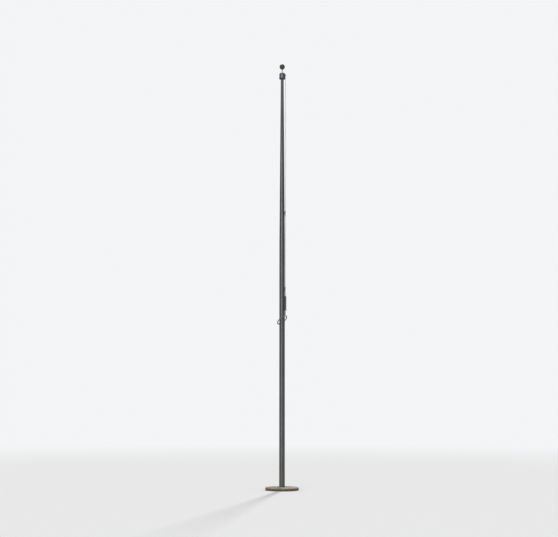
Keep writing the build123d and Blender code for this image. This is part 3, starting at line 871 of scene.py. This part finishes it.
profile = hood_profile(0) + list(reversed(hood_profile(hood_wall)))
profile += arc(rim_bead, hood_rim - rim_bead, hood_low.z + rim_bead, 150, 390, 14)
hood_mesh = shell_mesh(turned(profile, 160), sharp=40)
slot_spring = sheave_height + slot_top - slot_half
slot_outline = [(-slot_half, hood_low.z - 0.01), (slot_half, hood_low.z - 0.01)]
slot_outline += arc(slot_half, 0, slot_spring, 0, 180, 18)
middle = (hood_low.z + hood_high.z) / 2
loops = [[(slot_from, 0, middle)], [(slot_from, y, z) for y, z in slot_outline],
         [(slot_to, y, z) for y, z in slot_outline], [(slot_to, 0, middle)]]
hood_mesh = cut_out(hood_mesh, shell_mesh(skin(loops)))
hood_mesh.transform(line_turn)
hood_mesh.set_sharp_from_angle(angle=radians(40))

hood_finish, shader, place, colour, worked, cloud, runs = satin_aluminium(
    "spun_hood", (0.078, 0.085, 0.102), (0.165, 0.177, 0.208), 1300, 90)
grime = between(height_of(place) + grain(place, 120, 4) * 0.006, hood_low.z + 0.014, hood_low.z + 0.002)
colour = mix(runs * 0.35 + grime * 0.5, colour, (0.06, 0.058, 0.054))
paint(shader, colour, 0.3 + worked * 0.14 + cloud * 0.1 + runs * 0.15 + grime * 0.2,
      (worked, 0.00009), Metallic=0.9 - grime * 0.4)
place_piece("spun_hood", hood_mesh, hood_finish, "truck", "hood")


# Finial: a threaded spindle stands in the truck's crown and is locked by a nut. The hollow ball is two
# spun halves seamed round the middle, on a turned boss.
spindle_low, spindle_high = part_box("finial_spindle")
nut_low, nut_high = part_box("spindle_nut")
spindle_radius = 0.00635
spindle_sides = 32
thread_pitch = 0.00195
thread_depth = 0.0007
thread_top = nut_high.z + 0.021
loops = [[(0, 0, spindle_low.z)]]
height = spindle_low.z
while height < spindle_high.z:
    threaded = share((thread_top - height) / 0.002)
    loop = []
    for angle in full_turn(spindle_sides):
        cut = thread_depth * threaded * (0.5 + 0.5 * cos(2 * pi * height / thread_pitch - angle))
        loop.append(((spindle_radius - cut) * cos(angle), (spindle_radius - cut) * sin(angle), height))
    loops.append(loop)
    height += thread_pitch / 6 if threaded else 0.004
loops += [circle(radius, spindle_high.z - drop, spindle_sides) for radius, drop in (
    (spindle_radius, 0.001), (spindle_radius - 0.001, 0), (0, 0))]

weathered_steel, shader, place = start_finish("weathered_stainless")
bloom = grain(place, 130, 5)
marks = grain(place, 900, 3, (1, 0.2, 0.2))
paint(shader, mix(between(bloom, 0.35, 0.65), (0.088, 0.084, 0.077), (0.20, 0.197, 0.188)),
      0.3 + marks * 0.16 + bloom * 0.2, (marks, 0.00005), Metallic=0.92)
spindle_mesh = shell_mesh(skin(loops), sharp=50)
place_piece("threaded_spindle", spindle_mesh, weathered_steel, "truck", "finial_spindle")

nut_flat = 0.0095
nut_steps = 96
nut_tall = nut_high.z - nut_low.z
loops = [hexagon(nut_flat, nut_low.z + nut_tall * part, nut_steps, limit) for limit, part in (
    (0.0094, 0), (0.0099, 0.04), (0.0104, 0.09), (0.012, 0.16),
    (0.012, 0.84), (0.0104, 0.91), (0.0099, 0.96), (0.0094, 1))]
loops += [circle(radius, height, nut_steps) for radius, height in (
    (0.0072, nut_high.z), (0.0065, nut_high.z - 0.0008),
    (0.0065, nut_low.z + 0.0008), (0.0072, nut_low.z))]
place_piece("lock_nut", shell_mesh(skin(loops, True), sharp=20), weathered_steel, "truck",
            "spindle_nut")

ball_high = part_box("ball")[1]
ball_radius = ball_high.x
ball_centre = ball_high.z - ball_radius
ball_wall = 0.0016
ball_hole = 0.0065
seam_depth = 0.00035
seam_half = 1.6        # in degrees
hole_angle = degrees(acos(ball_hole / ball_radius))
profile = []
for angle in spaced(-hole_angle, 90, 80):
    radius = ball_radius - seam_depth * max(0.0, 1 - abs(angle) / seam_half)
    profile.append((radius * cos(radians(angle)) if angle < 90 else 0,
                    ball_centre + radius * sin(radians(angle))))
inside = arc(ball_radius - ball_wall, 0, ball_centre, -hole_angle, 88, 30)
shape = skin([circle(radius, height, 128) for radius, height in
              [(0, ball_centre + ball_radius - ball_wall)] + list(reversed(inside)) + profile])

ball_finish, shader, place = start_finish("satin_ball")
brushed = grain(place, 1500, 2, (0.01, 0.01, 1))
spots = between(grain(place, 210, 5), 0.5, 0.85)
cloud = grain(place, 22, 4)
off_seam = height_of(place) - ball_centre
seam_line = 1 - between(off_seam.maths("ABSOLUTE", off_seam), 0.0004, 0.0022)
colour = mix(between(cloud, 0.3, 0.7), (0.06, 0.0575, 0.052), (0.10, 0.097, 0.089))
colour = mix(spots * 0.9 + seam_line * 0.35, colour, (0.035, 0.032, 0.027))
paint(shader, colour, 0.34 + brushed * 0.12 + spots * 0.2, (brushed, 0.00006), Metallic=0.9)
place_piece("spun_ball", shell_mesh(shape), ball_finish, "truck", "ball")
dress(ball_finish, "ball_boss")


# Snaps: bronze swivel snaps, worn through their plating. An eye turns on a headed pin, and a sprung
# gate closes the hook's mouth. Two hold the flag, and a third holds the retainer ring.
def swept(path, half_widths, half_depths, count=20):
    """Rounded bar along a path of x and z, whose depth lies along Y. Its ends close on a point."""
    loops = []
    for i, (x, z) in enumerate(path):
        before, after = path[max(i - 1, 0)], path[min(i + 1, len(path) - 1)]
        length = hypot(after[0] - before[0], after[1] - before[1])
        across = ((after[1] - before[1]) / length, -(after[0] - before[0]) / length)
        loop = []
        for angle in full_turn(count):
            wide = half_widths[i] * cos(angle)
            loop.append((x + across[0] * wide, half_depths[i] * sin(angle), z + across[1] * wide))
        loops.append(loop)
    return skin([[(path[0][0], 0, path[0][1])]] + loops + [[(path[-1][0], 0, path[-1][1])]])


def rounded_ends(half, start, step, last):
    """Half thicknesses along a bar that narrows towards both ends."""
    return [half * min(1.0, start + step * min(i, last - i)) for i in range(last + 1)]


def wire_ring(radius, wire, around=64, count=16):
    """Round wire ring in the XZ plane."""
    section = [(radius + wire * cos(a), wire * sin(a)) for a in full_turn(count)]
    return skin([[(reach * cos(turn), y, reach * sin(turn)) for reach, y in section]
                 for turn in full_turn(around)], True)


snap_top = -0.0243     # the hook's top below the eye's middle
hook_half = 0.00975
hook_bend = snap_top - 0.013
hook_bottom = snap_top - 0.039
eye_shells = (
    wire_ring(0.009, 0.0025),
    turned([(0.0028, -0.009), (0.0040, -0.0086), (0.0051, -0.0094), (0.0055, -0.0108), (0.0055, -0.0168),
            (0.0050, -0.0178), (0.0028, -0.0180)], 48))

hook_path = [(hook_half, snap_top - 0.0152 + 0.0030 * i / 4) for i in range(5)]
hook_path += arc(hook_half, 0, hook_bend, 6, 180, 29)
hook_path += [(-hook_half, hook_bend - 0.026 * i / 10) for i in range(1, 11)]
hook_path += arc(-hook_half, 0, hook_bottom, 6, 174, 28)
hook_path += [(hook_half, hook_bottom), (hook_half, snap_top - 0.0372)]
last = len(hook_path) - 1
pin_top = 0.0021 - sqrt(0.0065 ** 2 - 0.004 ** 2)
hook_shells = (
    swept(hook_path, rounded_ends(0.00325, 0.55, 0.2, last), rounded_ends(0.0035, 0.55, 0.2, last)),
    turned([(radius, snap_top + rise) for radius, rise in (
        (0, -0.003), (0.0050, -0.003), (0.0055, -0.0005), (0.0052, 0.0030), (0.0055, 0.0052),
        (0.0048, 0.0060), (0, 0.0060))], 48, False),
    turned([(0, snap_top), (0.0025, snap_top), (0.0025, pin_top - 0.0018), (0.0040, pin_top - 0.0017),
            (0.0040, pin_top - 0.0008), (0.0024, pin_top), (0, pin_top)], 32, False))

gate_low = snap_top - 0.0366
gate_path = [(hook_half, gate_low + 0.0212 * i / 12) for i in range(13)]
gate_shells = (swept(gate_path, rounded_ends(0.0021, 0.6, 0.2, 12), rounded_ends(0.0030, 0.6, 0.2, 12)),)

snap_metal, shader, place = start_finish("worn_plated_bronze")
wear = grain(place, 170, 5, rough=0.6)
tarnish = between(wear, 0.45, 0.66)
fine = grain(place, 800, 3)
paint(shader, mix(tarnish, (0.17, 0.164, 0.152), (0.082, 0.06, 0.037)),
      0.28 + tarnish * 0.25 + fine * 0.1, (fine * 0.5 + wear * 0.5, 0.00014),
      Metallic=0.92 - tarnish * 0.2)

snap_drop = 0.0202     # the eye's middle below its knot
ring_snap_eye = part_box("ring_snap_eye")[1].z - 0.0115
for name, side, height, eye_turn, hook_turn in (
        ("upper_snap", snap_side, upper_knot - snap_drop, 0, -58),
        ("lower_snap", snap_side, lower_knot - snap_drop, 0, -58),
        ("ring_snap", 0, ring_snap_eye, 90, 180)):
    for part, shells, angle, finish, slot in (
            ("eye", eye_shells, eye_turn, snap_metal, "snap_metal"),
            ("hook", hook_shells, hook_turn, snap_metal, "snap_metal"),
            ("gate", gate_shells, hook_turn, turned_steel, "steel")):
        mesh = shell_mesh(*shells, sharp=50)
        mesh.transform(line_turn @ Matrix.Translation((line_radius, -side, height))
                       @ Matrix.Rotation(radians(angle), 4, "Z"))
        place_piece(f"{name}_{part}_cast", mesh, finish, "flag_line", f"{name}_{part}")

# Counterweight: a steel bar dipped in grey vinyl, with an eye screwed into each end. The coat is scuffed
# where it rides against the shaft, and a little wavy.
weight_low, weight_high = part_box("counterweight")
weight_radius = 0.016
weight_edge = 0.006
weight_side = 0.258
coat_wave = 0.00025
edge_radius = weight_radius - weight_edge
profile = [(0.0029, weight_high.z - 0.004), (0.0030, weight_high.z - 0.0005), (0.0036, weight_high.z),
           (0.0100, weight_high.z)]
profile += arc(weight_edge, edge_radius, weight_high.z - weight_edge, 84, 0, 9)
profile += [(weight_radius - coat_wave * (0.5 + 0.5 * cos(i * 0.9)),
             weight_high.z - weight_edge - weight_side * i / 30) for i in range(1, 30)]
profile += arc(weight_edge, edge_radius, weight_low.z + weight_edge, 0, -84, 9)
profile += [(radius, weight_low.z + rise) for radius, rise in (
    (0.0100, 0), (0.0036, 0), (0.0030, 0.0005), (0.0029, 0.004), (0.0124, 0.004), (0.0128, 0.008))]
profile += [(0.0128, weight_high.z - 0.008), (0.0124, weight_high.z - 0.004)]

vinyl, shader, place = start_finish("dipped_vinyl")
fade = grain(place, 24, 4)
scuff = between(grain(place, 320, 5, (1, 1, 0.16)), 0.6, 0.78) * between(fade, 0.4, 0.65)
orange_peel = grain(place, 260, 3)
colour = mix(fade, (0.062, 0.064, 0.064), (0.098, 0.099, 0.097))
paint(shader, mix(scuff * 0.7, colour, (0.17, 0.17, 0.163)),
      0.34 + fade * 0.14 + scuff * 0.3, (orange_peel * 0.8 + scuff * 0.2, 0.0002))
weight_mesh = shell_mesh(turned(profile, 96), sharp=50)
weight_mesh.transform(line_turn @ Matrix.Translation((line_radius, 0, 0)))
place_piece("vinyl_counterweight", weight_mesh, vinyl, "flag_line", "counterweight")
dress(turned_steel, "weight_core", "weight_eyes")

# Retainer ring: a plastic-coated wire cable threaded with nylon beads that roll on the shaft. It hangs
# tilted from its snap, and one crimped ferrule joins its ends beside the snap.
cable_low, cable_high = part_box("retainer_cable")
ring_drop = 0.145
ring_radius = hypot(2 * line_radius, ring_drop) / 2
ring_tilt = atan2(ring_drop, 2 * line_radius)
ring_place = (line_turn @ Matrix.Translation((0, 0, (cable_low.z + cable_high.z) / 2))
              @ Matrix.Rotation(-ring_tilt, 4, "Y"))
bead_radius = 0.011
bead_bore = 0.0034
bead_gap = 0.001
bead_count = 27
hook_thick = 0.007
ferrule_length = 0.013
ferrule_radius = 0.00475
ferrule_bore = 0.0031
ferrule_sides = 32
crimp_depth = 0.0009


def half_angle(length):
    """Half the angle that a chord of the ring spans."""
    return acos(sqrt(1 - (length / 2 / ring_radius) ** 2))


first_bead = half_angle(hook_thick + 2 * ferrule_length + 2 * bead_radius + 4 * bead_gap)
last_bead = 2 * pi - half_angle(hook_thick + 2 * bead_radius + 2 * bead_gap)
ferrule_angle = half_angle(hook_thick + ferrule_length + 2 * bead_gap)

bead_profile = [(bead_bore + 0.0007, -0.0100), (bead_bore, -0.0094), (bead_bore, 0.0094),
                (bead_bore + 0.0007, 0.0100)]
for i in range(1, 24):
    angle = radians(66 - 132 * i / 24)
    swell = bead_radius - (0.0002 if abs(angle) < 0.03 else 0)
    bead_profile.append((swell * cos(angle), swell * sin(angle)))
bead_object = add_object("bead", shell_mesh(turned(bead_profile, 32), sharp=60))

threader, entry = new_group("thread_beads", {
    "Bead": "Object", "Count": "Int", "Seed": "Int", "Material": "Material"})
route = entry["Geometry"]
spots_on = route.add("GeometryNodeCurveToPoints", {"mode": "COUNT"},
                     {"Curve": route, "Count": entry["Count"]})
turn_to = Socket(spots_on.output.node.outputs["Rotation"])
roll = spots_on.add("FunctionNodeRandomValue", {"data_type": "FLOAT"},
                    {"Min": 0.0, "Max": 2 * pi, "Seed": entry["Seed"]}, 1)
spin = roll.add("FunctionNodeAxisAngleToRotation", {}, {"Axis": (0, 0, 1), "Angle": roll})
turn_to = turn_to.add("FunctionNodeRotateRotation", {"rotation_space": "LOCAL"},
                      {"Rotation": turn_to, "Rotate By": spin})
bead_shape = entry["Bead"].add("GeometryNodeObjectInfo", {}, {"Object": entry["Bead"]}, "Geometry")
beads = bead_shape.add("GeometryNodeInstanceOnPoints", {},
                       {"Points": spots_on, "Instance": bead_shape, "Rotation": turn_to})
close_group(beads, entry["Material"])

nylon, shader, place = start_finish("moulded_nylon")
faded = grain(place, 26, 4)
scratches = between(grain(place, 420, 4), 0.55, 0.7)
colour = mix(faded, (0.105, 0.106, 0.103), (0.165, 0.165, 0.158))
paint(shader, mix(scratches * 0.5, colour, (0.30, 0.30, 0.285)),
      0.2 + scratches * 0.4, (scratches, 0.00008), **{"Coat Weight": 0.35, "Coat Roughness": 0.12})
bead_ring = [ring_place @ Vector((ring_radius * cos(a), ring_radius * sin(a), 0))
             for a in spaced(first_bead, last_bead, 208)]
bead_mesh = grow(route_curve(bead_ring, straight=True), threader, {
    "Bead": bead_object, "Count": bead_count, "Seed": 4, "Material": nylon})
bpy.data.objects.remove(bead_object)
place_piece("nylon_beads", bead_mesh, nylon, "flag_line", "retainer_beads")

coating, shader, place = start_finish("coated_cable")
lay_marks = grain(place, 500, 3)
paint(shader, mix(lay_marks, (0.16, 0.16, 0.155), (0.27, 0.27, 0.26)),
      0.4 + lay_marks * 0.2, (lay_marks, 0.0002))
dress(coating, "retainer_cable")

loops = []
for run in spaced(-1, 1, 26):
    crimp = max(0.0, 1 - abs(abs(run) - 0.42) / 0.2)
    end = 0.00035 if abs(run) == 1 else 0
    loop = []
    for angle in full_turn(ferrule_sides):
        reach = ferrule_radius - end - crimp_depth * crimp * cos(angle) ** 2
        loop.append((reach * cos(angle), run * ferrule_length / 2, reach * sin(angle)))
    loops.append(loop)
bore = circle(ferrule_bore, 0, ferrule_sides)
loops += [[(x, run * ferrule_length / 2, z) for x, z, _ in bore] for run in (1, -1)]
ferrule_mesh = shell_mesh(skin(loops, True), sharp=50)
ferrule_mesh.transform(ring_place @ Matrix.Rotation(ferrule_angle, 4, "Z")
                       @ Matrix.Translation((ring_radius, 0, 0)))
place_piece("crimped_ferrule", ferrule_mesh, snap_metal, "flag_line", "cable_ferrule")
